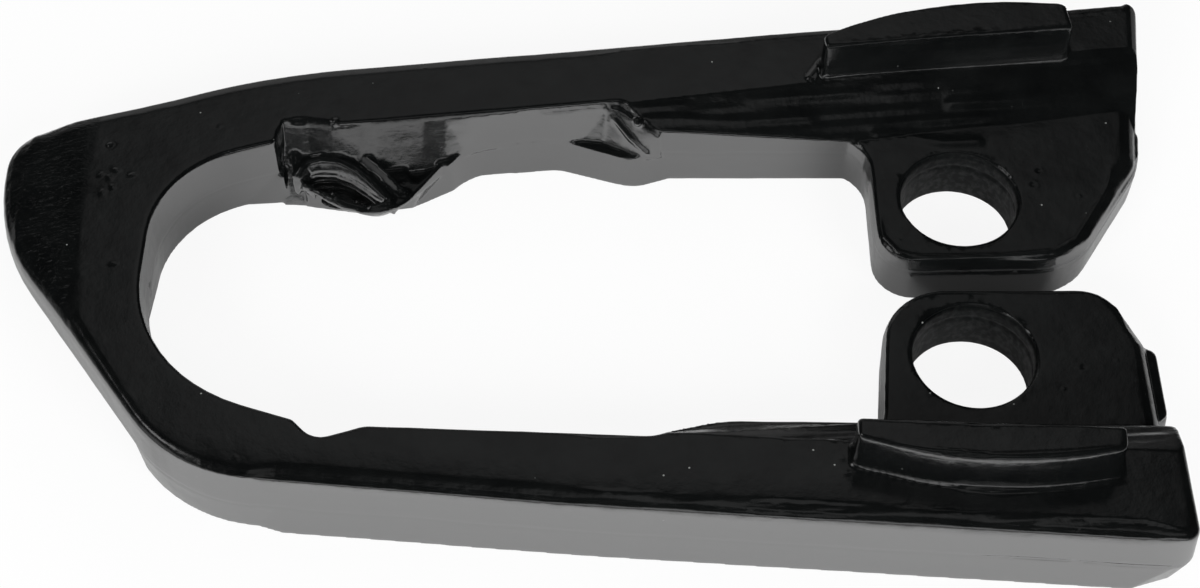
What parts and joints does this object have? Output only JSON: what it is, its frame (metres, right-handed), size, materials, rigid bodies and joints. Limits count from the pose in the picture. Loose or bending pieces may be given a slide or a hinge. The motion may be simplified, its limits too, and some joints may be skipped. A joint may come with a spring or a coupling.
{
  "type": "motorcycle chain guide",
  "caption": "One-piece moulded black rubber swingarm chain slider: a long loop with a bevelled nose, two open arms, facing bolt lugs and raised rub ribs.",
  "frame": {"origin": "centre of the bounding box on the plane of the flat back", "axes": "+X from the nose to the open ends of the arms, +Y from the lower arm to the upper arm, +Z from the flat back to the tops of the ribs"},
  "size_m": [0.2076, 0.1186, 0.024],
  "materials": {
    "rubber": "satin"
  },
  "bodies": {
    "root": {"chain_guide": "rubber"}
  },
  "joints": []
}
